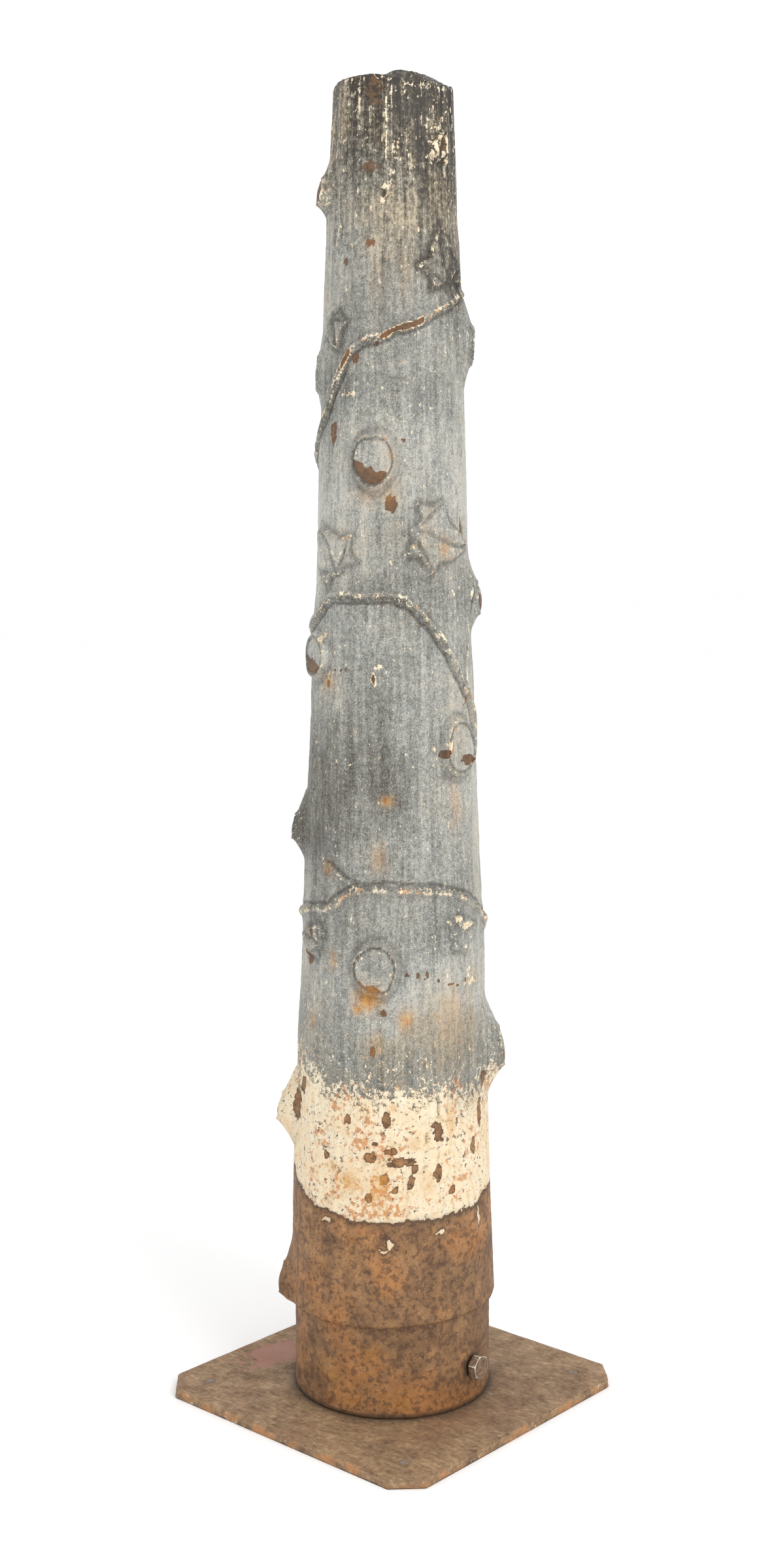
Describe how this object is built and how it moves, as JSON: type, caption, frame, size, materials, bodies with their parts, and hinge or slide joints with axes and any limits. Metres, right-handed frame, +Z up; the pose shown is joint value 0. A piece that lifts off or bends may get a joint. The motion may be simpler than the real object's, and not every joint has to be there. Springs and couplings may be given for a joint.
{
  "type": "faux-bois iron post",
  "caption": "Hollow tapering iron post cast as an ivy-clad tree trunk with sawn branch stubs, standing over a tube stub on a square steel plate and held by set bolts.",
  "frame": {"origin": "centre of the plate's underside, on the ground", "axes": "+Z up along the trunk; +X and +Y along the plate's sides; the trunk's parting line faces the +X, -Y corner"},
  "size_m": [0.457, 0.457, 1.7467],
  "materials": {
    "rusted_plate": "dull brown rust with orange patches and chips along the edges",
    "plug_steel": "blue-grey, flush and worn",
    "tube_steel": "dark mill scale and light rust",
    "weld_bead": "rippled bead, lightly rusted",
    "painted_iron": "weathered blue-grey paint over cream undercoat and brown rust, chipped to black at the top and bare rust at the foot",
    "bolt_steel": "brown rust"
  },
  "bodies": {
    "base": {"base_plate": "rusted_plate", "corner_plug_front": "plug_steel", "corner_plug_right": "plug_steel", "corner_plug_back": "plug_steel", "corner_plug_left": "plug_steel", "spigot_tube": "tube_steel", "spigot_weld": "weld_bead"},
    "trunk": {"trunk_casting": "painted_iron"},
    "right_bolt": {"set_bolt_right": "bolt_steel"},
    "left_bolt": {"set_bolt_left": "bolt_steel"}
  },
  "joints": [
    {"name": "trunk_lift", "type": "slide", "parent": "base", "child": "trunk", "axis": [0, 0, 1], "range_m": [0, 0.16]},
    {"name": "right_bolt_travel", "type": "slide", "parent": "trunk", "child": "right_bolt", "axis": [0.9962, 0.0872, 0], "range_m": [0, 0.024]},
    {"name": "left_bolt_travel", "type": "slide", "parent": "trunk", "child": "left_bolt", "axis": [-0.9962, -0.0872, 0], "range_m": [0, 0.024]}
  ]
}
